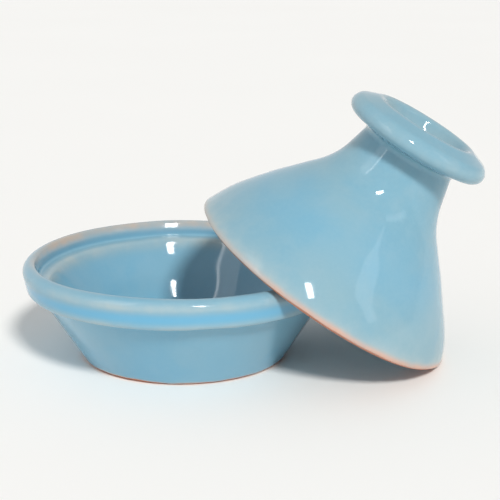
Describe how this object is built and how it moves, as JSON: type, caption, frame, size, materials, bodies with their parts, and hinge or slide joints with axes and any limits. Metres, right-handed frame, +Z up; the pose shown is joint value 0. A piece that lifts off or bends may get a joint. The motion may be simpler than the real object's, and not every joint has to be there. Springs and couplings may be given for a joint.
{
  "type": "lidded butter dish",
  "caption": "Glazed earthenware butter dish with a loose conical lid that ends in a cupped knob; the lid leans on the dish rim.",
  "frame": {"origin": "middle of the dish's flat bare base, on the table", "axes": "+Z up along the dish's own axis, +X towards the side that the lid leans on"},
  "size_m": [0.156, 0.1098, 0.0908],
  "materials": {
    "terracotta": "matt, unglazed fired clay",
    "blue_glaze": "gloss sky-blue glaze that breaks tan over edges"
  },
  "bodies": {
    "dish": {"dish_body": "terracotta", "dish_glaze": "blue_glaze"},
    "lid": {"lid_body": "terracotta", "lid_glaze": "blue_glaze", "lid_lining": "blue_glaze"}
  },
  "joints": [
    {"name": "lid_lift", "type": "slide", "parent": "dish", "child": "lid", "axis": [0, 0, 1], "range_m": [0, 0.06]}
  ]
}
